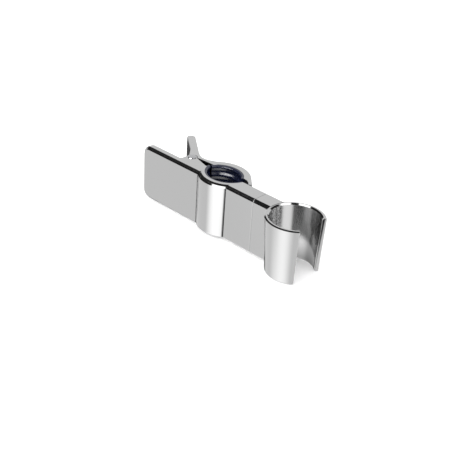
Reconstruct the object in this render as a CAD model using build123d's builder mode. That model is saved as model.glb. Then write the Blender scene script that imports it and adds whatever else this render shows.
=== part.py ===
from build123d import *
import os
from math import acos, atan2, cos, degrees, hypot, pi, radians, sin, sqrt, tan

# Shower rail slider. Millimetres, Z up.
# The origin is the rail's axis at the underside; X points to the handset cup, Y to the wall.

# Overall
height = 30.6
front_y = -12.5
edge_chamfer = 1.5
edge_break = 0.25
mid_z = height / 2

# Rail, liners and bore
rail_d = 22.0
rail_clearance = 0.1
liner_t = 1.4
liner_r = rail_d / 2 + rail_clearance
bore_r = liner_r + liner_t
liner_end_gap = 0.5
liner_lead = 0.7
peg_r = 1.5
peg_long = 2.0
peg_z = (7.5, height - 7.5)

# Grip plate, bulge and arm
plate_end_x = -52.1
plate_t = 4.3
plate_rear_y = front_y + plate_t
plate_corner_r = 5.2
bulge_r = 16.0
arm_rear_y = -3.0
seam_x = 28.0
seam_round = 0.25
web_x = 22.0

# Hinge. The lever is drawn as it lies on the rail and rests closed_swing further in.
pivot = (-24.4, -2.5)
closed_swing = 16.8
pin_r = 1.4
pin_running = 0.05
pin_head_r = 2.3
pin_head_t = 0.5
ear_r = 2.6
ear_h = 7.0
ear_clearance = 0.3
knuckle_r = 3.3
slit_y = 1.63
slit_front_y = -4.3

# Lever outline about the pivot, as it lies on a rail
fin_front = ((-2.37, -1.1), (-3.8, 0.35), (-8.0, 3.0), (-24.9, 9.55))
fin_rear = ((-24.3, 14.2), (-3.4, 5.85), (0.1, 4.75))
strip_rear = ((2.4, 4.75), (4.7, 5.45), (6.3, 6.3), (10.0, 9.9))
strip_front = ((12.5, 5.75), (3.0, 2.25))
jaw_tip = ((40.0, 12.9), (39.3, 11.7), (38.1, 11.3), (37.3, 12.0), (34.6, 12.8))
jaw_wall = 3.8

# Lever spring
wire_r = 0.5
wire_sides = 8
coil_r = 2.2
coil_turns = 2
coil_pitch = 1.15
plate_leg_x = -34.0
fin_leg_share = 0.3
coil_slot_h = 6.2
leg_slot_r = 4.8

# Handset cup
cup_low_r = 13.1
cup_top_r = 14.75
cup_wall_low = 2.1
cup_wall_top = 2.25
cup_low = (51.5, -7.6)
cup_top = (51.8, -9.2)
slot_low = (-45.5, 43.0)
slot_top = (-41.5, 39.5)
cup_rim = 0.5
seam_gap = 0.15

# Swivel
swivel_y = (front_y + arm_rear_y) / 2
spigot_r = 2.5
spigot_running = 0.05
washer_r = 3.4
counterbore_r = washer_r + 0.3
curved_washer_h = 0.8
curved_washer_t = 0.3
washer_t = 0.5
screw_r = 1.5
screw_head_r = 2.9
screw_head_h = 2.2
screw_long = 11.0
slip_r = 4.0
slip_t = 0.8
contact_gap = 0.02

lever_plane = Plane(
    origin=(pivot[0], pivot[1], 0),
    x_dir=(cos(radians(closed_swing)), -sin(radians(closed_swing)), 0),
    z_dir=(0, 0, 1),
)
rail_local = (-pivot[0], -pivot[1])
jaw_axis = Plane(
    origin=lever_plane.from_local_coords(Vector(*rail_local, 0)),
    x_dir=lever_plane.x_dir,
    z_dir=(0, 0, 1),
)
front_axis = Plane(origin=(0, 0, 0), x_dir=(-1, 0, 0), z_dir=(0, 0, 1))
swivel_plane = Plane(origin=(seam_x, swivel_y, mid_z), x_dir=(0, 1, 0), z_dir=(1, 0, 0))


def at_rest(x, y):
    """Turns a point drawn on the lever's plane into the slider's own plan."""
    a = radians(-closed_swing)
    return (pivot[0] + x * cos(a) - y * sin(a), pivot[1] + x * sin(a) + y * cos(a))


def peg_plane(axis_plane, distance):
    """Upright plane across the liner's pegs, at a distance from the bore's axis."""
    return Plane(origin=axis_plane.origin, x_dir=axis_plane.z_dir, z_dir=axis_plane.y_dir).offset(distance)


# Front body: grip plate, bulge, arm and hinge lug in one moulding
def make_plate():
    """Grip plate: rounded at its free end and chamfered round its front face."""
    long = -plate_end_x - 10.0
    with BuildPart() as plate:
        with BuildSketch(Plane.XZ.offset(-plate_rear_y)):
            with Locations(((plate_end_x - 10.0) / 2, mid_z)):
                Rectangle(long, height)
        extrude(amount=plate_t)
        fillet(plate.edges().filter_by(Axis.Y).group_by(Axis.X)[0], plate_corner_r)
        front = plate.faces().sort_by(Axis.Y)[0]
        chamfer(front.edges().sort_by(Axis.X)[:-1], edge_chamfer)
    return plate.part


def make_arm():
    """Arm from the bulge to the seam."""
    with BuildPart() as arm:
        with BuildSketch(Plane.XY):
            with Locations(((10.0 + seam_x) / 2, swivel_y)):
                Rectangle(seam_x - 10.0, arm_rear_y - front_y)
        extrude(amount=height)
        chamfer(arm.faces().sort_by(Axis.Y)[0].edges().filter_by(Axis.X), edge_chamfer)
        fillet(arm.faces().sort_by(Axis.X)[-1].edges(), seam_round)
    return arm.part


def make_front_body():
    """The whole front moulding with its bore, clevis, peg holes and screw well."""
    ear_side = at_rest(0, slit_y)
    slit_x = ear_side[0] + (ear_side[1] - slit_front_y) / tan(radians(closed_swing))
    with BuildPart() as body:
        Cylinder(bulge_r, height, align=(Align.CENTER, Align.CENTER, Align.MIN))
        chamfer(body.edges().filter_by(GeomType.CIRCLE), edge_chamfer)
        chamfer(body.edges().filter_by(GeomType.CIRCLE).group_by(Axis.Z)[-1], edge_break)
        chamfer(body.edges().filter_by(GeomType.CIRCLE).group_by(Axis.Z)[0], edge_break)
        with BuildSketch(Plane.XY):
            with Locations((0, slit_front_y + 15)):
                Rectangle(40, 30)
        extrude(amount=height, mode=Mode.SUBTRACT)
        add(make_plate())
        add(make_arm())
        # Lug behind the plate, round about the pin
        with BuildSketch(Plane.XY):
            Polygon(
                (pivot[0] - ear_r, plate_rear_y),
                (pivot[0] - ear_r, pivot[1]),
                (pivot[0], pivot[1]),
                ear_side,
                (slit_x, slit_front_y),
                (-bore_r + 1.5, slit_front_y),
                (-bore_r + 1.5, plate_rear_y),
            )
            with Locations(pivot):
                Circle(ear_r)
        extrude(amount=height)
        lug_root = (pivot[0] - ear_r, plate_rear_y, mid_z)
        fillet(body.edges().filter_by(Axis.Z).sort_by_distance(lug_root)[0], 1.5)
        # Bore for the rail liners
        with Locations((0, 0)):
            Hole(bore_r, depth=height)
        # Clevis gap and pin hole
        with BuildSketch(Plane.XY.offset(ear_h)):
            with Locations(pivot):
                Circle(knuckle_r + ear_clearance)
            with Locations((pivot[0], (plate_rear_y + pivot[1]) / 2)):
                Rectangle(2 * (knuckle_r + ear_clearance), pivot[1] - plate_rear_y)
            with Locations((pivot[0] - 4.0, (plate_rear_y + pivot[1]) / 2)):
                Rectangle(4.0, pivot[1] - plate_rear_y)
        extrude(amount=height - 2 * ear_h, mode=Mode.SUBTRACT)
        with BuildSketch(Plane.XY):
            with Locations(pivot):
                Circle(pin_r)
        extrude(amount=height, mode=Mode.SUBTRACT)
        # Holes for the liner's pegs
        with BuildSketch(peg_plane(front_axis, 0)):
            with Locations((peg_z[0], 0), (peg_z[1], 0)):
                Circle(peg_r)
        extrude(amount=bore_r + peg_long + 0.2, mode=Mode.SUBTRACT)
        # Well for the swivel screw and the hole for the cup's spigot
        with BuildSketch(swivel_plane.offset(web_x - seam_x)):
            Circle(counterbore_r)
        extrude(amount=5.0 - web_x, mode=Mode.SUBTRACT)
        with BuildSketch(swivel_plane):
            Circle(spigot_r + spigot_running)
        extrude(amount=web_x - seam_x, mode=Mode.SUBTRACT)
    return body.part


# Clamp lever: thumb fin, strip and rear jaw in one moulding, drawn round the pivot
def jaw_point(r, angle):
    """A point on a circle about the rail, on the lever's plane."""
    return (rail_local[0] + r * cos(radians(angle)), rail_local[1] + r * sin(radians(angle)))


def make_clamp_lever():
    """Fin and jaw, cut round the ears, with a knuckle between them and a slot for the spring."""
    outer = [jaw_point(bore_r + jaw_wall, a) for a in (148, 104, 62)]
    inner = [jaw_point(bore_r, a) for a in (52.5, 104, 156)]
    with BuildPart() as lever:
        with BuildSketch(lever_plane) as outline:
            with BuildLine():
                ThreePointArc(*outer)
                Polyline(outer[2], *jaw_tip, inner[0])
                ThreePointArc(*inner)
                Polyline(inner[2], *strip_front, (0, 0), *fin_front, *fin_rear, *strip_rear, outer[0])
            make_face()
            for spot, r in (
                (fin_front[3], 1.7),
                (fin_rear[0], 2.2),
                (jaw_tip[0], 0.5),
                (fin_front[2], 6.0),
                (fin_rear[1], 6.0),
                (strip_rear[3], 3.0),
            ):
                fillet(outline.vertices().sort_by_distance(spot)[0], r)
        extrude(amount=height)
        for face in (lever.faces().sort_by(Axis.Z)[-1], lever.faces().sort_by(Axis.Z)[0]):
            chamfer(face.edges(), edge_break)
        # Round cuts that clear the ears, then the knuckle between them
        with BuildSketch(lever_plane, lever_plane.offset(height - ear_h - ear_clearance)):
            Circle(ear_r + ear_clearance)
        extrude(amount=ear_h + ear_clearance, mode=Mode.SUBTRACT)
        with BuildSketch(lever_plane.offset(ear_h + ear_clearance)):
            Circle(knuckle_r)
        extrude(amount=height - 2 * (ear_h + ear_clearance))
        # Slot for the coil, wider in front where the legs leave it
        slot_plane = lever_plane.offset(mid_z - coil_slot_h / 2)
        with BuildSketch(slot_plane):
            Circle(knuckle_r + 0.1)
        extrude(amount=coil_slot_h, mode=Mode.SUBTRACT)
        with BuildSketch(slot_plane):
            Circle(leg_slot_r)
            with Locations((-leg_slot_r / 2 - 1.6, 0)):
                Rectangle(leg_slot_r, 2 * leg_slot_r, mode=Mode.INTERSECT)
        extrude(amount=coil_slot_h, mode=Mode.SUBTRACT)
        with BuildSketch(lever_plane):
            Circle(pin_r + pin_running)
        extrude(amount=height, mode=Mode.SUBTRACT)
        # Holes for the liner's pegs
        with BuildSketch(peg_plane(jaw_axis, 0)):
            with Locations((peg_z[0], 0), (peg_z[1], 0)):
                Circle(peg_r)
        extrude(amount=bore_r + peg_long + 0.2, mode=Mode.SUBTRACT)
    return lever.part


# Liners: dark half shells in the bore, eased at both ends, each held by two pegs
def make_liner(plane, first, last):
    """Half shell about the plane's origin between two angles; its pegs point along the plane's Y."""
    radial = plane.x_dir.rotate(Axis.Z, first)
    section = Plane(origin=plane.origin, x_dir=radial, z_dir=radial.cross(plane.z_dir))
    low, top = liner_end_gap, height - liner_end_gap
    with BuildPart() as liner:
        with BuildSketch(section):
            Polygon(
                (bore_r, low),
                (liner_r + liner_lead, low),
                (liner_r, low + liner_lead),
                (liner_r, top - liner_lead),
                (liner_r + liner_lead, top),
                (bore_r, top),
            )
        revolve(axis=Axis(plane.origin, (0, 0, 1)), revolution_arc=last - first)
        with BuildSketch(peg_plane(plane, bore_r - liner_t / 2)):
            with Locations((peg_z[0], 0), (peg_z[1], 0)):
                Circle(peg_r)
        extrude(amount=liner_t / 2 + peg_long)
    return liner.part


# Hinge pin: pressed into the ears, its low head on the upper one
def make_hinge_pin():
    """Plain steel pin with a low round head."""
    with BuildPart() as pin:
        with BuildSketch(Plane.XY.offset(0.2)):
            with Locations(pivot):
                Circle(pin_r)
        extrude(amount=height - 0.2)
        with BuildSketch(Plane.XY.offset(height)):
            with Locations(pivot):
                Circle(pin_head_r)
        extrude(amount=pin_head_t)
        chamfer(pin.faces().sort_by(Axis.Z)[-1].edges(), pin_head_t / 2)
    return pin.part


# Lever spring: coil round the pin, one leg on the plate and one on the fin
def leg_tangent(end, side):
    """Angle on the coil at which a straight leg to the given end leaves it."""
    x, y = end[0] - pivot[0], end[1] - pivot[1]
    return degrees(atan2(y, x)) + side * degrees(acos(coil_r / hypot(x, y)))


def leg_length(end):
    """Length in plan of a straight leg from the coil to the given end."""
    return sqrt((end[0] - pivot[0]) ** 2 + (end[1] - pivot[1]) ** 2 - coil_r ** 2)


def make_lever_spring():
    """Torsion spring whose legs run from the coil to the plate's rear and to the fin's front."""
    plate_leg_end = (plate_leg_x, plate_rear_y + wire_r + contact_gap)
    low, high = Vector(*at_rest(*fin_front[2])), Vector(*at_rest(*fin_front[3]))
    off_fin = (high - low).normalized().rotate(Axis.Z, 90) * (wire_r + contact_gap)
    seat = low + (high - low) * fin_leg_share + off_fin
    fin_leg_end = (seat.X, seat.Y)
    first = leg_tangent(plate_leg_end, -1)
    last = leg_tangent(fin_leg_end, 1)
    turns = coil_turns + ((first - last) % 360) / 360
    with BuildLine() as coil:
        Helix(
            coil_pitch,
            turns * coil_pitch,
            coil_r,
            center=(*pivot, mid_z - turns * coil_pitch / 2),
            lefthand=True,
        )
    turned = coil.line.rotate(Axis((*pivot, 0), (0, 0, 1)), first).edge()
    slope = hypot(1, coil_pitch / (2 * pi * coil_r))
    plate_leg = slope * leg_length(plate_leg_end)
    fin_leg = slope * leg_length(fin_leg_end)
    with BuildPart() as spring:
        with BuildLine() as wire:
            Line((turned @ 0) - (turned % 0) * plate_leg, turned @ 0)
            add(turned)
            Line(turned @ 1, (turned @ 1) + (turned % 1) * fin_leg)
        path = wire.wires()[0]
        with BuildSketch(Plane(origin=path @ 0, z_dir=path % 0)):
            RegularPolygon(wire_r, wire_sides)
        sweep(path=path, is_frenet=True)
    return spring.part


# Handset cup: arm stub, conical cup with an open front and the swivel's spigot
def make_stub():
    """The cup's end of the arm, chamfered like the other."""
    long = cup_low[0] - cup_low_r + cup_wall_low - seam_x - seam_gap
    with BuildPart() as stub:
        with BuildSketch(Plane.XY):
            with Locations((seam_x + seam_gap + long / 2, swivel_y)):
                Rectangle(long, arm_rear_y - front_y)
        extrude(amount=height)
        chamfer(stub.faces().sort_by(Axis.Y)[0].edges().filter_by(Axis.X), edge_chamfer)
        fillet(stub.faces().sort_by(Axis.X)[0].edges(), seam_round)
    return stub.part


def slot_point(centre, angle):
    """A point well outside the cup at an angle from its centre."""
    return (centre[0] + 30 * cos(radians(angle)), centre[1] + 30 * sin(radians(angle)))


def add_cup_cone(low_r, top_r, mode):
    """A cone about the cup's leaning axis, longer than the cup at both ends."""
    spare = 2.0
    axis = Vector(cup_top[0] - cup_low[0], cup_top[1] - cup_low[1], height)
    taper = (top_r - low_r) / height
    start = Vector(*cup_low, 0) - axis.normalized() * spare
    with Locations(Location(Plane(origin=start, z_dir=axis))):
        Cone(
            low_r - taper * spare,
            top_r + taper * spare,
            axis.length + 2 * spare,
            align=(Align.CENTER, Align.CENTER, Align.MIN),
            mode=mode,
        )


def make_handset_cup():
    """Cup, stub and spigot in one moulding; the cup leans a little to the front."""
    spigot_x = web_x - curved_washer_h
    with BuildPart() as cup:
        add_cup_cone(cup_low_r, cup_top_r, Mode.ADD)
        with BuildSketch(Plane.XY):
            with Locations(cup_low):
                Circle(2 * cup_top_r)
        extrude(amount=height, mode=Mode.INTERSECT)
        for end in (0, -1):
            chamfer(cup.faces().sort_by(Axis.Z)[end].edges(), cup_rim)
        add(make_stub())
        add_cup_cone(cup_low_r - cup_wall_low, cup_top_r - cup_wall_top, Mode.SUBTRACT)
        for end in (0, -1):
            chamfer(cup.faces().sort_by(Axis.Z)[end].inner_wires().edges(), cup_rim)
        # Open front for the hose
        for z, centre, angles in ((0, cup_low, slot_low), (height, cup_top, slot_top)):
            with BuildSketch(Plane.XY.offset(z)):
                Polygon(centre, slot_point(centre, angles[0]), slot_point(centre, angles[1]))
        loft(ruled=True, mode=Mode.SUBTRACT)
        # Recess for the slip washer, spigot through the arm's web and pilot hole for the screw
        with BuildSketch(swivel_plane):
            Circle(slip_r + 0.1)
        extrude(amount=slip_t, mode=Mode.SUBTRACT)
        with BuildSketch(swivel_plane.offset(spigot_x - seam_x)):
            Circle(spigot_r)
        extrude(amount=seam_x - spigot_x + slip_t)
        with BuildSketch(swivel_plane.offset(spigot_x - seam_x)):
            Circle(screw_r)
        extrude(amount=screw_long, mode=Mode.SUBTRACT)
    return cup.part


# Swivel hardware
def make_swivel_screw():
    """Pan-head screw with a hexagon socket."""
    under_head = web_x - curved_washer_h - washer_t - seam_x
    with BuildPart() as screw:
        with BuildSketch(swivel_plane.offset(under_head - screw_head_h)):
            Circle(screw_head_r)
        extrude(amount=screw_head_h)
        chamfer(screw.faces().sort_by(Axis.X)[0].edges(), screw_head_h / 4)
        with BuildSketch(swivel_plane.offset(under_head)):
            Circle(screw_r)
        extrude(amount=screw_long)
        with BuildSketch(swivel_plane.offset(under_head - screw_head_h)):
            RegularPolygon(1.25, 6)
        extrude(amount=1.2, mode=Mode.SUBTRACT)
    return screw.part


def make_swivel_washer():
    """Flat washer between the screw's head and the spigot."""
    with BuildPart() as washer:
        with BuildSketch(swivel_plane.offset(web_x - curved_washer_h - washer_t - seam_x)):
            Circle(washer_r)
            Circle(screw_r + 0.1, mode=Mode.SUBTRACT)
        extrude(amount=washer_t)
    return washer.part


def make_friction_spring():
    """Curved spring washer round the spigot, held between the flat washer and the web."""
    rise = curved_washer_h - curved_washer_t - 2 * contact_gap
    bend_r = (washer_r ** 2 + rise ** 2) / (2 * rise)
    with BuildPart() as washer:
        with BuildSketch(Plane.XY.offset(mid_z - washer_r)):
            with Locations((web_x - contact_gap - curved_washer_t - bend_r, swivel_y)):
                Circle(bend_r + curved_washer_t)
                Circle(bend_r, mode=Mode.SUBTRACT)
        extrude(amount=2 * washer_r)
        with BuildSketch(swivel_plane.offset(web_x - curved_washer_h - seam_x)):
            Circle(washer_r)
            Circle(spigot_r + 0.15, mode=Mode.SUBTRACT)
        extrude(amount=curved_washer_h, mode=Mode.INTERSECT)
    return washer.part


def make_slip_washer():
    """Flat plastic washer that keeps the seam open."""
    with BuildPart() as washer:
        with BuildSketch(swivel_plane.offset(contact_gap)):
            Circle(slip_r)
            Circle(spigot_r + 0.1, mode=Mode.SUBTRACT)
        extrude(amount=slip_t - contact_gap)
    return washer.part


if __name__ == "__main__":
    os.makedirs("parts", exist_ok=True)
    pieces = {
        "front_body": make_front_body(),
        "clamp_lever": make_clamp_lever(),
        "front_liner": make_liner(front_axis, 21.5, 164.5),
        "jaw_liner": make_liner(jaw_axis, 54.0, 154.5),
        "hinge_pin": make_hinge_pin(),
        "lever_spring": make_lever_spring(),
        "handset_cup": make_handset_cup(),
        "swivel_screw": make_swivel_screw(),
        "swivel_washer": make_swivel_washer(),
        "friction_spring": make_friction_spring(),
        "slip_washer": make_slip_washer(),
    }
    for label, piece in pieces.items():
        piece.label = label
        export_step(piece, f"parts/{label}.step")
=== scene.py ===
"""Dresses the shower rail slider for its picture: materials, detailed pieces, studio and camera."""

import logging
from collections.abc import Sequence
from dataclasses import dataclass, field
from enum import Enum
from typing import Any

import bpy
import numpy as np
from mathutils import Matrix, Vector

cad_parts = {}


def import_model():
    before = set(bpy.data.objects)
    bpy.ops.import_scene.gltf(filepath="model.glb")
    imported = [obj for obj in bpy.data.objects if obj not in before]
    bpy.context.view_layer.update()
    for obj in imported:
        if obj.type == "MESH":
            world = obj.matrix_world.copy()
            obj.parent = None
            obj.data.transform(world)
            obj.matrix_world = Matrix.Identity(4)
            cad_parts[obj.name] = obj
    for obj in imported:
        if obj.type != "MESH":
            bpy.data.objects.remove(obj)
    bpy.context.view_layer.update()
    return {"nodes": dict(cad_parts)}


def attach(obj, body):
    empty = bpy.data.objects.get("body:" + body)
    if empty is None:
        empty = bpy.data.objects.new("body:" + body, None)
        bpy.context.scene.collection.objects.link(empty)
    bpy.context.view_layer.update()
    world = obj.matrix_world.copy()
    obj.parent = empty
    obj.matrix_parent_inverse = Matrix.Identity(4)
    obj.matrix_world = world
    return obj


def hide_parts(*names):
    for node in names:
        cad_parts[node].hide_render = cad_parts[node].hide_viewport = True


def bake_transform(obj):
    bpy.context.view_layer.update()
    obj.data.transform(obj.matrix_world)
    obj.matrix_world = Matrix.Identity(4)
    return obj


LOG = logging.getLogger("slider")
MM = 0.001
HEIGHT_MM = 30.6
# Faces of a new piece that turn by more than this meet in a sharp edge.
SHARP_DEG = 35.0
# Upward part of a 45 degree bevel's normal, and how far off it a face may be.
BEVEL_TILT = float(np.sqrt(0.5))
BEVEL_SPAN = 0.06
# Rays from each point that look for an inner corner, for the painted crease shade.
CREASE_SHADE_RAYS = 16
WHITE = (1.0, 1.0, 1.0, 1.0)

Numbers = float | np.ndarray
Surface = tuple[np.ndarray, list[list[int]]]


class Slot(Enum):
    """Names of material slots, by finish."""

    CHROME = "body_chrome"
    LINER = "liner"
    STEEL = "steel"
    WIRE = "spring_wire"


class Body(Enum):
    """The bodies that move by themselves."""

    FRONT = "front"
    LEVER = "lever"
    CUP = "cup"


def linear(colour: str) -> tuple[float, float, float, float]:
    """Turns an sRGB hex colour into linear light.

    Args:
        colour: six hex digits, with or without a leading hash.

    Returns:
        Linear red, green and blue with an alpha of 1.
    """
    digits = colour.lstrip("#")
    srgb = np.array([int(digits[i : i + 2], 16) for i in (0, 2, 4)]) / 255
    out = np.where(srgb <= 0.04045, srgb / 12.92, ((srgb + 0.055) / 1.055) ** 2.4)
    return (float(out[0]), float(out[1]), float(out[2]), 1.0)


def add_node(
    tree: bpy.types.NodeTree,
    kind: str,
    settings: dict[str, Any] | None = None,
    values: dict[Any, Any] | None = None,
    links: dict[Any, bpy.types.NodeSocket] | None = None,
) -> bpy.types.Node:
    """Adds a shader node with its settings, socket values and incoming links.

    Args:
        tree: the node tree that gets the node.
        kind: the node's Blender type name.
        settings: properties of the node itself.
        values: default values by input name or number.
        links: sockets that feed the inputs, by input name or number.

    Returns:
        The new node.
    """
    node = tree.nodes.new(kind)
    for key, value in (settings or {}).items():
        setattr(node, key, value)
    for key, value in (values or {}).items():
        node.inputs[key].default_value = value
    for key, socket in (links or {}).items():
        tree.links.new(socket, node.inputs[key])
    return node


def own_place(tree: bpy.types.NodeTree, axis: str) -> bpy.types.NodeSocket:
    """Looks up the place on the piece along one of its own axes.

    Args:
        tree: the node tree that asks for it.
        axis: "X", "Y" or "Z".

    Returns:
        The place, in metres.
    """
    place = add_node(tree, "ShaderNodeTexCoord")
    axes = add_node(tree, "ShaderNodeSeparateXYZ", links={0: place.outputs["Object"]})
    return axes.outputs[axis]


def polar(angle_deg: Numbers, radius: Numbers) -> np.ndarray:
    """Points on a circle: x is the radius times the cosine, y the radius times the sine.

    Args:
        angle_deg: angles from +X towards +Y, in degrees.
        radius: radii, of a shape that goes with the angles.

    Returns:
        An array of the same shape with a last axis of x and y.
    """
    angle = np.radians(angle_deg)
    return np.stack(np.broadcast_arrays(radius * np.cos(angle), radius * np.sin(angle)), axis=-1)


def eased(first: float, last: float, count: int, margin: float) -> np.ndarray:
    """Even steps between two values with one extra step close to each end.

    Args:
        first: the first value.
        last: the last value.
        count: number of even steps.
        margin: distance of the extra steps from the ends, which keeps flat faces flat in a mirror.

    Returns:
        The values in order.
    """
    way = np.sign(last - first)
    inner = np.linspace(first + way * margin, last - way * margin, count)
    return np.concatenate([[first], inner, [last]])


def surface(points_mm: np.ndarray, ends: tuple[str, str] = ("pole", "pole")) -> Surface:
    """Closes a grid of points into a shell: every row is a loop, and both end rows are capped.

    Each row of the grid is one closed loop, which turns like a right-hand screw about the way the
    rows go. Quads join neighbouring loops. A pole closes an end by a fan to the loop's middle, a
    ladder by quads from one half of the loop across to the other.

    Args:
        points_mm: array of rows x loop x 3, in millimetres.
        ends: "pole" or "ladder" for the first and for the last row.

    Returns:
        The points and the faces as lists of point numbers.
    """
    rows, loop, _ = points_mm.shape
    index = np.arange(rows * loop).reshape(rows, loop)
    after = np.roll(index, -1, axis=1)
    quads = np.stack([index[:-1], after[:-1], after[1:], index[1:]], axis=-1).reshape(-1, 4)
    faces = quads.tolist()
    points = [points_mm.reshape(-1, 3)]
    for end, row in zip(ends, (0, rows - 1), strict=True):
        if end == "ladder":
            near, far = index[row, : loop // 2], index[row, : loop // 2 - 1 : -1]
            cap = np.stack([near[:-1], near[1:], far[1:], far[:-1]], axis=-1)
        else:
            pole = np.full(loop, sum(len(block) for block in points))
            cap = np.stack([index[row], after[row], pole], axis=-1)
            points.append(points_mm[row].mean(axis=0)[None])
        faces += (cap[:, ::-1] if row == 0 else cap).tolist()
    return np.concatenate(points), faces


@dataclass(frozen=True)
class Finish:
    """A finish of one colour and gloss, with painted shade beside inner corners and down recesses
    where set.

    Attributes:
        name: the material and how its surface was made.
        colour: sRGB colour in hex.
        metallic: 1 for bare metal, 0 for plastic.
        roughness: how far the gloss blurs.
        ior: index of refraction, where it isn't the shader's own.
        bump_mm: height of a fine grain.
        grain_mm: width of that grain.
        crease_shade_mm: reach of the painted shade that darkens the colour beside an inner corner.
        unshaded_x_mm: stretch along X in which the corners get no painted shade.
        crown_from_mm: height above which bevelled edges are rounded over.
        crown_slope: how steeply the rounding tips them up.
        recess_shade_mm: lower and upper height between which painted shade darkens the colour
            downwards.
        recess_shade_share: share of the colour that the painted shade leaves at the lower height.
    """

    name: str
    colour: str
    metallic: float
    roughness: float
    ior: float | None = None
    bump_mm: float = 0.0
    grain_mm: float = 1.0
    crease_shade_mm: float = 0.0
    unshaded_x_mm: tuple[float, float] | None = None
    crown_from_mm: float | None = None
    crown_slope: float = 0.43
    recess_shade_mm: tuple[float, float] | None = None
    recess_shade_share: float = 0.35

    def material(self) -> bpy.types.Material:
        """Returns the finish's material, which is built at its first use."""
        return bpy.data.materials.get(self.name) or self.build()

    def build(self) -> bpy.types.Material:
        """Builds the material: one gloss shader, with its normal and colour fed where needed.

        Returns:
            The new material.
        """
        material = bpy.data.materials.new(self.name)
        material.use_nodes = True
        tree = material.node_tree
        tree.nodes.clear()
        values = {
            "Base Color": linear(self.colour),
            "Metallic": self.metallic,
            "Roughness": self.roughness,
        }
        if self.ior is not None:
            values["IOR"] = self.ior
        shader = add_node(tree, "ShaderNodeBsdfPrincipled", values=values)
        add_node(tree, "ShaderNodeOutputMaterial", links={"Surface": shader.outputs["BSDF"]})
        if self.bump_mm:
            tree.links.new(self.grain(tree), shader.inputs["Normal"])
        if self.crown_from_mm is not None:
            tree.links.new(self.crown(tree), shader.inputs["Normal"])
        # Painted shade: the colour darkens beside inner corners.
        if self.crease_shade_mm:
            tree.links.new(self.scaled(tree, self.crease_shade(tree)), shader.inputs["Base Color"])
        # Painted shade: the colour darkens towards the foot of the recess.
        if self.recess_shade_mm:
            tree.links.new(self.scaled(tree, self.recess_shade(tree)), shader.inputs["Base Color"])
        return material

    def scaled(
        self, tree: bpy.types.NodeTree, share: bpy.types.NodeSocket
    ) -> bpy.types.NodeSocket:
        """The finish's colour times a share.

        Args:
            tree: the material's node tree.
            share: the share, from 0 to 1.

        Returns:
            The scaled colour.
        """
        return add_node(
            tree,
            "ShaderNodeVectorMath",
            {"operation": "SCALE"},
            {0: linear(self.colour)[:3]},
            {"Scale": share},
        ).outputs["Vector"]

    def recess_shade(self, tree: bpy.types.NodeTree) -> bpy.types.NodeSocket:
        """Share of the colour by height: painted shade that darkens the bore downwards.

        Args:
            tree: the material's node tree.

        Returns:
            The share, from recess_shade_share at the lower height to 1 at the upper one.
        """
        low, high = self.recess_shade_mm
        values = {"From Min": low * MM, "From Max": high * MM, "To Min": self.recess_shade_share}
        return add_node(
            tree,
            "ShaderNodeMapRange",
            values={**values, "To Max": 1.0},
            links={"Value": own_place(tree, "Z")},
        ).outputs["Result"]

    def crown(self, tree: bpy.types.NodeTree) -> bpy.types.NodeSocket:
        """Normal that tips the upper part of bevelled edges further up, as a wheel rounds them.

        The bump's height falls evenly with the height above the start, on bevelled faces only.

        Args:
            tree: the material's node tree.

        Returns:
            The bumped normal.
        """
        facing = add_node(tree, "ShaderNodeNewGeometry").outputs["True Normal"]
        tilt = add_node(tree, "ShaderNodeSeparateXYZ", links={0: facing}).outputs["Z"]
        bevelled = add_node(
            tree,
            "ShaderNodeMath",
            {"operation": "COMPARE"},
            {1: BEVEL_TILT, 2: BEVEL_SPAN},
            {0: tilt},
        )
        height = add_node(
            tree,
            "ShaderNodeMapRange",
            values={
                "From Min": self.crown_from_mm * MM,
                "From Max": HEIGHT_MM * MM,
                "To Min": 0.0,
                "To Max": -self.crown_slope * (HEIGHT_MM - self.crown_from_mm) * MM,
            },
            links={"Value": own_place(tree, "Z")},
        )
        fall = add_node(
            tree,
            "ShaderNodeMath",
            {"operation": "MULTIPLY"},
            links={0: height.outputs["Result"], 1: bevelled.outputs["Value"]},
        )
        return add_node(
            tree,
            "ShaderNodeBump",
            values={"Strength": 1.0, "Distance": 1.0},
            links={"Height": fall.outputs["Value"]},
        ).outputs["Normal"]

    def crease_shade(self, tree: bpy.types.NodeTree) -> bpy.types.NodeSocket:
        """Share of the colour beside an inner corner: painted shade that darkens the plate there.

        A point's share is 0 when any of its rays meets the piece within reach, so the average
        falls towards the corner. Inside the stretch along X without painted shade it is 1.

        Args:
            tree: the material's node tree.

        Returns:
            The share, from 0 to 1.
        """
        crease_occlusion = add_node(
            tree,
            "ShaderNodeAmbientOcclusion",
            {"samples": CREASE_SHADE_RAYS, "only_local": True},
            {"Distance": self.crease_shade_mm * MM},
        )
        share = add_node(
            tree,
            "ShaderNodeMapRange",
            values={"From Min": 1 - 1 / CREASE_SHADE_RAYS, "From Max": 1.0},
            links={"Value": crease_occlusion.outputs["AO"]},
        ).outputs["Result"]
        if not self.unshaded_x_mm:
            return share
        low, high = self.unshaded_x_mm
        unshaded = add_node(
            tree,
            "ShaderNodeMath",
            {"operation": "COMPARE"},
            {1: (low + high) / 2 * MM, 2: (high - low) / 2 * MM},
            {0: own_place(tree, "X")},
        )
        return add_node(
            tree,
            "ShaderNodeMath",
            {"operation": "MAXIMUM"},
            links={0: share, 1: unshaded.outputs["Value"]},
        ).outputs["Value"]

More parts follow.
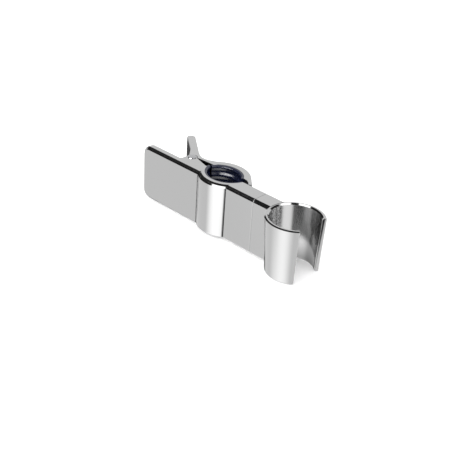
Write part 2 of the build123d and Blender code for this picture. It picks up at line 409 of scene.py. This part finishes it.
    def grain(self, tree: bpy.types.NodeTree) -> bpy.types.NodeSocket:
        """Normal of a fine noise bump whose height and grain are real sizes.

        Args:
            tree: the material's node tree.

        Returns:
            The bumped normal.
        """
        place = add_node(tree, "ShaderNodeTexCoord")
        noise = add_node(
            tree,
            "ShaderNodeTexNoise",
            values={"Scale": 1 / (self.grain_mm * MM), "Detail": 2.0},
            links={"Vector": place.outputs["Object"]},
        )
        return add_node(
            tree,
            "ShaderNodeBump",
            values={"Strength": 1.0, "Distance": self.bump_mm * MM},
            links={"Height": noise.outputs[0]},
        ).outputs["Normal"]


# Bright chrome plate on a polished moulding: a neutral mirror that takes its greys from the studio.
# Its inner corners get a painted shade line.
CHROME_PLATE = Finish("polished chrome plate", "C4C4C4", 1.0, 0.06, crease_shade_mm=0.6)
# The same plate on body and lever, where the wheel has rounded the bevels over. It has no painted
# shade in the corner on the bulge's arm side, and a painted shade line in the one on the grip side.
BUFFED_PLATE = Finish(
    "buffed chrome plate",
    "C4C4C4",
    1.0,
    0.06,
    crease_shade_mm=0.7,
    unshaded_x_mm=(7.0, 13.0),
    crown_from_mm=29.85,
)
# Plate inside the cup, which the wheel does not reach: blurred, and darkened downwards by painted
# shade.
RECESS_PLATE = Finish("unbuffed chrome plate", "C4C4C4", 1.0, 0.2, recess_shade_mm=(2.0, 16.0))
# Glossy injection-moulded liner: near black with a blue cast, so that it stands off the chrome.
LINER_PLASTIC = Finish(
    "moulded navy liner plastic", "12162B", 0.0, 0.25, ior=1.58, bump_mm=0.001, grain_mm=1.5
)
# Turned stainless steel: a little darker and softer than the plate round it.
TURNED_STEEL = Finish(
    "turned stainless steel", "B4B4B6", 1.0, 0.16, bump_mm=0.001, grain_mm=0.3
)
# Drawn spring wire: dull bright steel.
DRAWN_WIRE = Finish("drawn spring wire", "9A9A9C", 1.0, 0.3, bump_mm=0.001, grain_mm=0.4)
# Natural slippery plastic of the seam's washer: milky white and satin.
SLIP_PLASTIC = Finish("natural acetal", "E6E4DC", 0.0, 0.45, ior=1.48)


def add_piece(
    name: str,
    shells: Sequence[Surface],
    finish: Finish,
    body: Body,
    node: str,
    inner: tuple[Finish, np.ndarray] | None = None,
) -> bpy.types.Object:
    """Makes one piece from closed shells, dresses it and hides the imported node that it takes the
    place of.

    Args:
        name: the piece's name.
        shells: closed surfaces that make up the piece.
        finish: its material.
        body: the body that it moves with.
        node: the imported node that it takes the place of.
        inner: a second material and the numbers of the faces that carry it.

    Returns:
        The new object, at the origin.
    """
    points: list[np.ndarray] = []
    faces: list[list[int]] = []
    for shell_points, shell_faces in shells:
        first = sum(len(block) for block in points)
        faces += [[first + i for i in face] for face in shell_faces]
        points.append(shell_points)
    mesh = bpy.data.meshes.new(name)
    mesh.from_pydata((np.concatenate(points) * MM).tolist(), [], faces)
    mesh.shade_smooth()
    mesh.set_sharp_from_angle(angle=float(np.radians(SHARP_DEG)))
    mesh.materials.append(finish.material())
    if inner:
        mesh.materials.append(inner[0].material())
        second = np.zeros(len(faces), np.int32)
        second[inner[1]] = 1
        mesh.polygons.foreach_set("material_index", second)
    piece = bpy.data.objects.new(name, mesh)
    bpy.context.scene.collection.objects.link(piece)
    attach(piece, body.value)
    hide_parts(node)
    LOG.info("%s: %d faces", name, len(faces))
    return piece


@dataclass
class RailLiner:
    """Ridged half shell that lines the bore on one side of the rail, with its two pegs."""

    name: str
    node: str
    body: Body
    axis_mm: tuple[float, float]
    turned_deg: float
    first_deg: float
    last_deg: float
    inner_r: float = 11.1
    outer_r: float = 12.5
    end_gap: float = 0.1
    lead: float = 0.8
    ridge_pitch: float = 4.8
    ridge_deep: float = 0.8
    lip: float = 0.28
    lip_deep: float = 0.25
    peg_r: float = 1.5
    peg_reach: tuple[float, float] = (11.8, 14.5)
    peg_z: tuple[float, float] = (7.5, 23.1)
    rows: int = 49
    levels: int = 137
    lead_steps: int = 7
    peg_sides: int = 24

    def build(self) -> None:
        """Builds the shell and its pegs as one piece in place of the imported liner."""
        shells = [self.shell(), *(self.peg(z) for z in self.peg_z)]
        add_piece(self.name, shells, LINER_PLASTIC, self.body, self.node)

    def section(self) -> tuple[np.ndarray, np.ndarray]:
        """The wall's outline as radii and heights: up the inner face, then down the outer one.

        The inner radius is the rail's plus half the ridges' depth times one minus the cosine of
        the height over the pitch, and it opens by a quarter circle at both ends. Outside, a small
        lip at both ends fills the bevel at the mouth of the chromed bore.

        Returns:
            Radii and heights of the closed outline.
        """
        low, high = self.end_gap, HEIGHT_MM - self.end_gap
        rise = self.lead * (1 - np.cos(np.linspace(0, np.pi / 2, self.lead_steps)))
        straight = np.linspace(low + self.lead, high - self.lead, self.levels)[1:-1]
        z = np.concatenate([low + rise, straight, high - rise[::-1]])
        from_end = np.clip(np.minimum(z - low, high - z), 0, self.lead)
        opening = self.lead - np.sqrt(self.lead**2 - (self.lead - from_end) ** 2)
        wave = 0.5 - 0.5 * np.cos(2 * np.pi * (z - HEIGHT_MM / 2) / self.ridge_pitch)
        inner = self.inner_r + self.ridge_deep * wave * (1 - opening / self.lead) + opening
        lip = self.lip * np.clip(2 - from_end / self.lip_deep, 0, 1)
        radius = np.concatenate([inner, (self.outer_r + lip)[::-1]])
        return radius, np.concatenate([z, z[::-1]])

    def shell(self) -> Surface:
        """Carries the section round the bore's axis from the first to the last angle.

        Returns:
            The half shell's closed surface.
        """
        radius, z = self.section()
        angle = np.linspace(self.first_deg, self.last_deg, self.rows) + self.turned_deg
        flat = polar(angle[:, None], radius[None]) + np.array(self.axis_mm)
        height = np.broadcast_to(z, flat.shape[:2])
        return surface(np.dstack([flat, height]), ("ladder", "ladder"))

    def peg(self, z: float) -> Surface:
        """One peg: circles along the radius that is square to the liner's own X axis.

        Args:
            z: height of the peg's axis.

        Returns:
            The peg's closed surface.
        """
        out = np.append(polar(self.turned_deg + 90, 1.0), 0.0)
        side = np.append(polar(self.turned_deg, 1.0), 0.0)
        up = np.array([0.0, 0.0, 1.0])
        ring = polar(np.linspace(0, 360, self.peg_sides, endpoint=False), self.peg_r)
        loop = ring[:, :1] * up + ring[:, 1:] * side
        reach = np.array(self.peg_reach)[:, None, None]
        return surface(np.array([*self.axis_mm, z]) + reach * out + loop)


@dataclass
class LeverSpring:
    """Torsion spring round the hinge pin: a coil with a straight leg at each end."""

    pivot_mm: tuple[float, float] = (-24.4, -2.5)
    wire_r: float = 0.5
    coil_r: float = 2.2
    turns: int = 2
    pitch: float = 1.15
    plate_leg_end: tuple[float, float] = (-34.0, -7.68)
    fin_leg_end: tuple[float, float] = (-35.91, 5.62)
    steps_per_turn: int = 48
    leg_steps: int = 8
    wire_sides: int = 20

    def tangent_deg(self, end: tuple[float, float], side: int) -> float:
        """Angle on the coil at which a straight leg to the given end leaves it.

        It lies to one side of the angle to that end, by the angle whose cosine is the coil's
        radius over the distance.

        Args:
            end: the leg's end, in plan.
            side: -1 or 1, for the side on which the leg leaves.

        Returns:
            The angle from +X towards +Y, in degrees.
        """
        way = np.subtract(end, self.pivot_mm)
        spread = np.degrees(np.arccos(self.coil_r / np.hypot(*way)))
        return float(np.degrees(np.arctan2(way[1], way[0])) + side * spread)

    def leg_length(self, end: tuple[float, float]) -> float:
        """Length in plan from the coil to a leg's end."""
        return float(np.sqrt(np.sum(np.subtract(end, self.pivot_mm) ** 2) - self.coil_r**2))

    def centreline(self) -> tuple[np.ndarray, np.ndarray, np.ndarray]:
        """The wire's middle line, its direction, and the coil's outward direction along it.

        The coil is a helix that turns clockwise as it rises; each leg is the helix's own tangent.

        Returns:
            Points, unit directions and unit outward vectors, each an array of n x 3.
        """
        first = self.tangent_deg(self.plate_leg_end, -1)
        last = self.tangent_deg(self.fin_leg_end, 1)
        turns = self.turns + ((first - last) % 360) / 360
        coil = np.linspace(0, 1, int(turns * self.steps_per_turn))
        share = np.concatenate([np.zeros(self.leg_steps), coil, np.ones(self.leg_steps)])
        plate_leg = np.linspace(-self.leg_length(self.plate_leg_end), 0, self.leg_steps + 1)[:-1]
        fin_leg = np.linspace(0, self.leg_length(self.fin_leg_end), self.leg_steps + 1)[1:]
        ahead = np.concatenate([plate_leg, 0 * coil, fin_leg])
        angle = first - 360 * turns * share
        out = np.column_stack([polar(angle, 1.0), 0 * angle])
        rise = self.pitch / (2 * np.pi * self.coil_r)
        along = np.column_stack([out[:, 1], -out[:, 0], np.full_like(angle, rise)])
        middle = np.array([*self.pivot_mm, HEIGHT_MM / 2])
        lift = np.column_stack([0 * angle, 0 * angle, self.pitch * turns * (share - 0.5)])
        points = middle + self.coil_r * out + lift + ahead[:, None] * along
        return points, along / np.hypot(1, rise), out

    def build(self) -> None:
        """Carries the wire's circle along its middle line."""
        points, along, out = self.centreline()
        across = np.cross(along, out)
        ring = polar(np.linspace(0, 360, self.wire_sides, endpoint=False), self.wire_r)
        loop = ring[None, :, :1] * out[:, None] + ring[None, :, 1:] * across[:, None]
        wire = surface(points[:, None] + loop)
        body, slot = Body.FRONT, Slot.WIRE
        piece = add_piece("torsion_spring", [wire], DRAWN_WIRE, body, "lever_spring")
        # It hangs on no body.
        piece.parent = None
        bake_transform(piece)


@dataclass
class HingePin:
    """Steel pin with a low domed head."""

    centre_mm: tuple[float, float] = (-24.4, -2.5)
    shank_r: float = 1.4
    shank_low: float = 0.2
    head_r: float = 2.3
    head_edge: float = 0.18
    head_high: float = 0.5
    tip_r: float = 0.04
    edge_steps: int = 7
    dome_steps: int = 12
    sides: int = 64

    def build(self) -> None:
        """Turns the pin's profile round its axis: shank, underside of the head, edge and dome.

        The dome's height falls with the square of the radius, and its edge is a quarter circle.
        """
        quarter = np.linspace(0, np.pi / 2, self.edge_steps)
        dome_r = np.linspace(self.head_r - self.head_edge, self.tip_r, self.dome_steps)
        crown = self.head_high - 2 * self.head_edge
        dome_z = 2 * self.head_edge + crown * (1 - (dome_r / dome_r[0]) ** 2)
        edge_r = self.head_r - self.head_edge * (1 - np.cos(quarter))
        edge_z = self.head_edge * (1 + np.sin(quarter))
        radius = np.concatenate([[self.shank_r, self.shank_r, self.head_r], edge_r, dome_r[1:]])
        top = np.concatenate([[0, 0], edge_z, dome_z[1:]]) + HEIGHT_MM
        z = np.concatenate([[self.shank_low], top])
        angle = np.linspace(0, 360, self.sides, endpoint=False)
        flat = polar(angle[None], radius[:, None]) + np.array(self.centre_mm)
        height = np.broadcast_to(z[:, None], flat.shape[:2])
        shell = surface(np.dstack([flat, height]))
        add_piece("domed_pin", [shell], TURNED_STEEL, Body.FRONT, "hinge_pin")


@dataclass
class HandsetCup:
    """Conical cup with rounded rims and an open front, and the stub that swivels it on the arm.

    Pairs of centres, radii, walls and slot angles are for the cup's foot and its rim. An edge is
    its width and its depth, step_in the margin that keeps a flat face flat beside a rounding, and
    step_over the gap between an edge and the wall's first step.
    """

    low_centre: tuple[float, float] = (51.5, -7.6)
    top_centre: tuple[float, float] = (51.8, -9.2)
    outer_r: tuple[float, float] = (13.1, 14.75)
    wall: tuple[float, float] = (2.1, 2.25)
    slot_first_deg: tuple[float, float] = (43.0, 39.5)
    slot_last_deg: tuple[float, float] = (314.5, 318.5)
    inner_edge: tuple[float, float] = (0.7, 0.7)
    outer_edge: tuple[float, float] = (0.8, 0.42)
    edge_steps: tuple[float, ...] = (0.0, 0.0, 0.08, 0.92, 1.0)
    rim_flat: float = 0.06
    step_in: float = 0.05
    step_over: float = 0.01
    levels: int = 14
    end_round: float = 0.25
    round_steps: int = 6
    rows: int = 181
    seam_x: float = 28.08
    seam_round: float = 0.12
    front_y: float = -12.5
    rear_y: float = -3.0
    edge_chamfer: float = 1.5
    recess_r: float = 4.1
    recess_x: float = 28.8
    spigot_r: float = 2.5
    spigot_x: float = 21.2
    pilot_r: float = 1.5
    pilot_x: float = 32.2
    stub_sides: int = 96

    def build(self) -> None:
        """Builds the cup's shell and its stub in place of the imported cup."""
        shell, bore_faces = self.shell()
        inner = (RECESS_PLATE, bore_faces)
        shells = [shell, self.stub()]
        add_piece("rounded_cup", shells, CHROME_PLATE, Body.CUP, "handset_cup", inner)

    def section(self) -> tuple[np.ndarray, np.ndarray, np.ndarray]:
        """The wall's outline: up the bore, then down the outside.

        Both sides are drawn in at the foot and the rim by their edge's width, which runs out over
        the edge's depth along the given steps, and the very end by the rim's flat more.

        Returns:
            Heights, distances drawn in, and the side of the wall: -1 on the bore, 1 outside.
        """
        steps = np.array(self.edge_steps)
        flat = np.where(np.arange(len(steps)) == 0, self.rim_flat, 0.0)
        height, inward = [], []
        for wide, deep in (self.inner_edge, self.outer_edge):
            low = deep + self.step_over
            wall_z = eased(low, HEIGHT_MM - low, self.levels, self.step_in)
            foot, inset = deep * steps, wide * (1 - steps) + flat
            height.append(np.concatenate([foot, wall_z, HEIGHT_MM - foot[::-1]]))
            inward.append(np.concatenate([inset, 0 * wall_z, inset[::-1]]))
        side = np.repeat([-1.0, 1.0], len(height[0]))
        z = np.concatenate([height[0], height[1][::-1]])
        return z, np.concatenate([inward[0], inward[1][::-1]]), side

    def way_round(self, share: np.ndarray, middle: np.ndarray) -> tuple[np.ndarray, np.ndarray]:
        """Angles from one side of the slot round to the other, with a quarter circle at each end.

        Args:
            share: share of the cup's height, for each point of the section.
            middle: radius of the wall's middle at that height.

        Returns:
            Angles of rows x section points, and how far each row is drawn in, of rows x 1.
        """
        first = np.interp(share, (0, 1), self.slot_first_deg)
        last = np.interp(share, (0, 1), self.slot_last_deg)
        turn = np.linspace(0, np.pi / 2, self.round_steps)
        ahead = self.end_round * (1 - np.cos(turn))
        drawn_in = self.end_round * (1 - np.sin(turn))
        to_deg = np.degrees(1 / middle)
        start, stop = first + self.end_round * to_deg, last - self.end_round * to_deg
        along = np.linspace(0, 1, self.rows)[1:-1, None]
        angle = np.concatenate(
            [
                first + ahead[:, None] * to_deg,
                start + along * (stop - start),
                last - ahead[::-1, None] * to_deg,
            ]
        )
        squeeze = np.concatenate([drawn_in, np.zeros(self.rows - 2), drawn_in[::-1]])
        return angle, squeeze[:, None]

    def shell(self) -> tuple[Surface, np.ndarray]:
        """The cup: a wall section with rounded rims, carried round the leaning axis.

        At a height share s the circle's centre, outer radius and wall lie at share s between
        their low and top values, and the angle runs at the same share between the slot's sides.

        Returns:
            The closed surface, and the numbers of its faces on the bore.
        """
        z, inward, side = self.section()
        share = z / HEIGHT_MM
        half = np.interp(share, (0, 1), self.wall) / 2
        middle = np.interp(share, (0, 1), self.outer_r) - half
        angle, squeeze = self.way_round(share, middle)
        reach = np.minimum(half - inward, half - squeeze)
        level = np.clip(z, squeeze, HEIGHT_MM - squeeze)
        flat = polar(angle, middle + side * reach) + self.centre(share)
        strips = np.arange((len(angle) - 1) * len(z)).reshape(-1, len(z))
        ends, edge = self.round_steps - 1, len(self.edge_steps)
        bore = strips[ends:-ends, edge : edge + self.levels + 1].ravel()
        return surface(np.dstack([flat, level]), ("ladder", "ladder")), bore

    def centre(self, share: np.ndarray) -> np.ndarray:
        """Centre of the cup's circle at a share of its height."""
        low, top = np.array(self.low_centre), np.array(self.top_centre)
        return low + share[..., None] * (top - low)

    def stub_angles(self) -> np.ndarray:
        """Even angles about the swivel's axis, from up towards the wall, with the six corners.

        Returns:
            The angles in degrees, in rising order.
        """
        half_y, half_z = (self.rear_y - self.front_y) / 2, HEIGHT_MM / 2
        short_y, short_z = half_y - self.edge_chamfer, half_z - self.edge_chamfer
        rear = [(half_y, half_z), (half_y, -half_z)]
        front = [(-short_y, -half_z), (-half_y, -short_z), (-half_y, short_z), (-short_y, half_z)]
        y, z = np.array(rear + front).T
        even = np.linspace(-180, 180, self.stub_sides, endpoint=False)
        return np.unique(np.concatenate([even, np.degrees(np.arctan2(y, z))]))

    def stub_outline(self, angle: np.ndarray, inset: float) -> np.ndarray:
        """Distance from the swivel's axis to the stub's outline, drawn in by an inset.

        It is the least of each side's distance over the cosine of the angle to that side.

        Args:
            angle: angles about the axis.
            inset: how far the outline is drawn in.

        Returns:
            The distance at each angle.
        """
        half_y, half_z = (self.rear_y - self.front_y) / 2, HEIGHT_MM / 2
        cut = (half_y + half_z - self.edge_chamfer) / np.sqrt(2)
        side_deg = np.array([0, 90, 180, 225, 270, 315])
        side_mm = np.array([half_z, half_y, half_z, cut, half_y, cut])
        facing = np.cos(np.radians(angle[:, None] - side_deg))
        least = 1e-3
        reach = np.where(facing > least, (side_mm - inset) / np.maximum(facing, least), np.inf)
        return reach.min(axis=1)

    def stub_loop(self, angle: np.ndarray, x: Numbers, radius: Numbers) -> np.ndarray:
        """Points of one loop round the swivel's axis.

        Args:
            angle: angles about the axis.
            x: place along the axis, one for all or one for each angle.
            radius: distance from the axis.

        Returns:
            An array of angles x 3.
        """
        ring = polar(angle, radius)
        y = (self.front_y + self.rear_y) / 2 + ring[:, 1]
        return np.column_stack([np.broadcast_to(x, angle.shape), y, HEIGHT_MM / 2 + ring[:, 0]])

    def stub(self) -> Surface:
        """The stub with its spigot, as one surface from inside the cup's wall to the pilot hole.

        Every loop goes round the swivel's axis: along the stub's outline outside, in a circle
        inside. The first one lies in the middle of the cup's wall.

        Returns:
            The closed surface.
        """
        angle = self.stub_angles()
        full = self.stub_outline(angle, 0.0)
        outer = self.stub_loop(angle, 0.0, full)
        share = outer[:, 2] / HEIGHT_MM
        half_wall = np.interp(share, (0, 1), self.wall) / 2
        middle_r = np.interp(share, (0, 1), self.outer_r) - half_wall
        centre = self.centre(share)
        in_wall = centre[:, 0] - np.sqrt(middle_r**2 - (outer[:, 1] - centre[:, 1]) ** 2)
        before_seam = self.seam_x + self.seam_round + self.step_in
        rows = [self.stub_loop(angle, in_wall, full), self.stub_loop(angle, before_seam, full)]
        for turn in np.linspace(0, np.pi / 2, self.round_steps):
            x = self.seam_x + self.seam_round * (1 - np.sin(turn))
            inset = self.seam_round * (1 - np.cos(turn))
            rows.append(self.stub_loop(angle, x, self.stub_outline(angle, inset)))
        face = self.stub_outline(angle, self.seam_round + self.step_in)
        rows.append(self.stub_loop(angle, self.seam_x, face))
        for x, radius in (
            (self.seam_x, self.recess_r),
            (self.recess_x, self.recess_r),
            (self.recess_x, self.spigot_r),
            (self.spigot_x, self.spigot_r),
            (self.spigot_x, self.pilot_r),
            (self.pilot_x, self.pilot_r),
        ):
            rows.append(self.stub_loop(angle, x, radius))
        return surface(np.stack(rows))


@dataclass(frozen=True)
class Zone:
    """A soft-edged bright or dark part of the studio, by its direction from the object."""

    around_deg: float
    above_deg: float
    level: float
    core_deg: float
    edge_deg: float

    def towards(self) -> Vector:
        """The zone's direction, from its angle round Z and its height above the horizon.

        Returns:
            A unit vector.
        """
        across, up = np.cos(np.radians(self.above_deg)), np.sin(np.radians(self.above_deg))
        x, y = polar(self.around_deg, across)
        return Vector((x, y, up))

    def blend(
        self,
        tree: bpy.types.NodeTree,
        direction: bpy.types.NodeSocket,
        level: float | bpy.types.NodeSocket,
    ) -> bpy.types.NodeSocket:
        """Blends the zone into the surrounding's level.

        Args:
            tree: the world's node tree.
            direction: the direction that is looked up.
            level: the level so far, a number or a socket.

        Returns:
            The level with the zone in it.
        """
        dot = add_node(
            tree,
            "ShaderNodeVectorMath",
            {"operation": "DOT_PRODUCT"},
            {1: tuple(self.towards())},
            {0: direction},
        )
        edge, core = (float(np.cos(np.radians(angle))) for angle in (self.edge_deg, self.core_deg))
        values: dict[str, Any] = {"From Min": edge, "From Max": core, "To Max": self.level}
        links = {"Value": dot.outputs["Value"]}
        (values if isinstance(level, float) else links)["To Min"] = level
        smooth = {"interpolation_type": "SMOOTHSTEP"}
        return add_node(tree, "ShaderNodeMapRange", smooth, values, links).outputs["Result"]


@dataclass(frozen=True)
class Lamp:
    """A square soft lamp, which metal doesn't mirror."""

    name: str
    place_m: tuple[float, float, float]
    side_m: float
    watts: float

    def build(self, focus: Vector) -> None:
        """Hangs the lamp at its place and turns it to the focus.

        Args:
            focus: the point that it is turned to, in metres.
        """
        lamp = bpy.data.lights.new(self.name, "AREA")
        lamp.size = self.side_m
        lamp.energy = self.watts
        holder = bpy.data.objects.new(self.name, lamp)
        turned = (focus - Vector(self.place_m)).to_track_quat("-Z", "Y").to_matrix().to_4x4()
        holder.matrix_world = Matrix.Translation(self.place_m) @ turned
        holder.visible_glossy = False
        holder.visible_camera = False
        bpy.context.scene.collection.objects.link(holder)


@dataclass
class Studio:
    """Pale floor, soft lamps, a surrounding that polished metal mirrors, and the camera."""

    floor_m: float = 4.0
    surround: float = 0.905
    fill: float = 1.35
    focus_mm: tuple[float, float, float] = (4.0, -5.0, 15.0)
    lamps: tuple[Lamp, ...] = (
        Lamp("key", (-0.35, -0.25, 0.75), 1.2, 4.0),
        Lamp("front", (0.5, -0.7, 0.5), 0.9, 2.0),
    )
    zones: tuple[Zone, ...] = (
        # Large soft box low in front, and the bright floor before it
        Zone(-86.0, -6.0, 2.0, 9.0, 50.0),
        Zone(-116.5, -73.0, 2.1, 4.5, 40.9),
        # Dark panel on the left and dark ceiling, which draw the chamfers and rims
        Zone(-152.0, 32.0, 0.02, 24.0, 29.0),
        Zone(173.0, 12.0, 0.02, 8.0, 13.0),
        Zone(172.0, 32.0, 0.03, 14.0, 20.0),
        Zone(165.0, 62.0, 0.03, 18.0, 25.0),
        # High soft box between them
        Zone(-92.0, 55.0, 2.3, 18.0, 23.0),
        # Dark cards overhead and at the right, which edge the cup's rim, with a lamp between
        Zone(-42.0, 60.0, 0.03, 9.0, 13.0),
        Zone(0.0, 88.0, 0.03, 10.0, 15.0),
        Zone(-55.0, 17.0, 0.03, 20.0, 26.0),
        Zone(8.0, 52.0, 2.2, 12.0, 18.0),
        Zone(58.0, 33.0, 0.03, 15.0, 23.0),
        # Dark cards low behind the lever and before the slot's side, and a pale one beside it
        Zone(148.0, -24.0, 0.08, 10.0, 18.0),
        Zone(-50.0, -29.5, 0.02, 8.5, 12.5),
        Zone(-12.0, -26.0, 1.25, 14.0, 21.0),
        # Row of small lamps that the liners' ridges catch
        Zone(-62.0, 25.0, 14.0, 3.0, 9.0),
        Zone(-80.0, 25.0, 16.0, 4.0, 10.0),
        Zone(-98.0, 25.0, 16.0, 4.0, 10.0),
        Zone(-113.0, 22.0, 12.0, 3.0, 8.0),
    )
    yaw_deg: float = 41.481
    pitch_deg: float = 30.598
    roll_deg: float = -4.155
    lens_mm: float = 66.06
    sensor_mm: float = 36.0
    clip_m: float = 0.01
    camera_mm: tuple[float, float, float] = (263.63, -290.30, 225.66)

    def build(self) -> None:
        """Builds the floor, the lamps, the surrounding and the camera."""
        self.build_floor()
        self.build_world()
        for lamp in self.lamps:
            lamp.build(Vector(self.focus_mm) * MM)
        self.build_camera()
        bpy.context.scene.view_settings.view_transform = "Standard"

    def build_floor(self) -> None:
        """A large white floor that keeps the shadow and stays out of the metal's mirror."""
        mesh = bpy.data.meshes.new("floor")
        square = np.array([(-1, -1, 0), (1, -1, 0), (1, 1, 0), (-1, 1, 0)]) * self.floor_m / 2
        mesh.from_pydata(square.tolist(), [], [(0, 1, 2, 3)])
        floor = bpy.data.objects.new("floor", mesh)
        bpy.context.scene.collection.objects.link(floor)
        material = bpy.data.materials.new("matt white floor")
        material.use_nodes = True
        tree = material.node_tree
        tree.nodes.clear()
        paint = {"Color": linear("F4F4F4"), "Roughness": 0.0}
        matt = add_node(tree, "ShaderNodeBsdfDiffuse", values=paint)
        clear = add_node(tree, "ShaderNodeBsdfTransparent")
        path = add_node(tree, "ShaderNodeLightPath")
        mixed = add_node(
            tree,
            "ShaderNodeMixShader",
            links={0: path.outputs["Is Glossy Ray"], 1: matt.outputs[0], 2: clear.outputs[0]},
        )
        add_node(tree, "ShaderNodeOutputMaterial", links={"Surface": mixed.outputs[0]})
        mesh.materials.append(material)

    def build_world(self) -> None:
        """White to the camera, plain soft fill to matt faces, and soft zones to polished ones."""
        world = bpy.data.worlds.new("studio")
        bpy.context.scene.world = world
        world.use_nodes = True
        tree = world.node_tree
        tree.nodes.clear()
        direction = add_node(tree, "ShaderNodeTexCoord").outputs["Generated"]
        level: float | bpy.types.NodeSocket = self.surround
        for zone in self.zones:
            level = zone.blend(tree, direction, level)
        tint = {"Color": WHITE}
        polished = add_node(tree, "ShaderNodeBackground", values=tint, links={"Strength": level})
        plain = add_node(tree, "ShaderNodeBackground", values={**tint, "Strength": self.fill})
        white = add_node(tree, "ShaderNodeBackground", values={**tint, "Strength": 1.0})
        path = add_node(tree, "ShaderNodeLightPath")
        seen = add_node(
            tree,
            "ShaderNodeMixShader",
            links={0: path.outputs["Is Glossy Ray"], 1: plain.outputs[0], 2: polished.outputs[0]},
        )
        final = add_node(
            tree,
            "ShaderNodeMixShader",
            links={0: path.outputs["Is Camera Ray"], 1: seen.outputs[0], 2: white.outputs[0]},
        )
        add_node(tree, "ShaderNodeOutputWorld", links={"Surface": final.outputs[0]})

    def build_camera(self) -> None:
        """The camera as measured from the picture: its axes follow from yaw, pitch and roll."""
        yaw, pitch, roll = np.radians([self.yaw_deg, self.pitch_deg, self.roll_deg])
        level_way = np.array([-np.sin(yaw), np.cos(yaw), 0.0])
        forward = np.cos(pitch) * level_way - np.array([0.0, 0.0, np.sin(pitch)])
        right = np.array([np.cos(yaw), np.sin(yaw), 0.0])
        down = np.cross(forward, right)
        right_rolled = np.cos(roll) * right + np.sin(roll) * down
        down_rolled = -np.sin(roll) * right + np.cos(roll) * down
        camera = bpy.data.cameras.new("camera")
        camera.lens = self.lens_mm
        camera.sensor_width = self.sensor_mm
        camera.clip_start = self.clip_m
        holder = bpy.data.objects.new("camera", camera)
        turned = Matrix(np.array([right_rolled, -down_rolled, -forward]).T.tolist()).to_4x4()
        holder.matrix_world = Matrix.Translation(Vector(self.camera_mm) * MM) @ turned
        bpy.context.scene.collection.objects.link(holder)
        bpy.context.scene.camera = holder


@dataclass
class Fittings:
    """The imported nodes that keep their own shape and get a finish."""

    nodes: dict[str, bpy.types.Object]
    finishes: dict[str, Finish] = field(
        default_factory=lambda: {
            "front_body": BUFFED_PLATE,
            "clamp_lever": BUFFED_PLATE,
            "swivel_screw": TURNED_STEEL,
            "swivel_washer": TURNED_STEEL,
            "friction_spring": DRAWN_WIRE,
            "slip_washer": SLIP_PLASTIC,
        }
    )

    def dress(self) -> None:
        """Gives each node the material of its finish."""
        for node, finish in self.finishes.items():
            for slot in self.nodes[node].material_slots:
                slot.material = finish.material()
            LOG.info("%s: %s", node, finish.name)


def main() -> None:
    """Builds the scene in order."""
    logging.basicConfig(level=logging.INFO, format="%(message)s")
    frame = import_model()
    Fittings(frame["nodes"]).dress()
    RailLiner(
        "front_lining",
        "front_liner",
        Body.FRONT,
        axis_mm=(0.0, 0.0),
        turned_deg=180.0,
        first_deg=11.0,
        last_deg=164.5,
    ).build()
    RailLiner(
        "jaw_lining",
        "jaw_liner",
        Body.LEVER,
        axis_mm=(-0.319, -7.159),
        turned_deg=-16.8,
        first_deg=54.0,
        last_deg=169.0,
    ).build()
    LeverSpring().build()
    HingePin().build()
    HandsetCup().build()
    Studio().build()


if __name__ == "__main__":
    main()
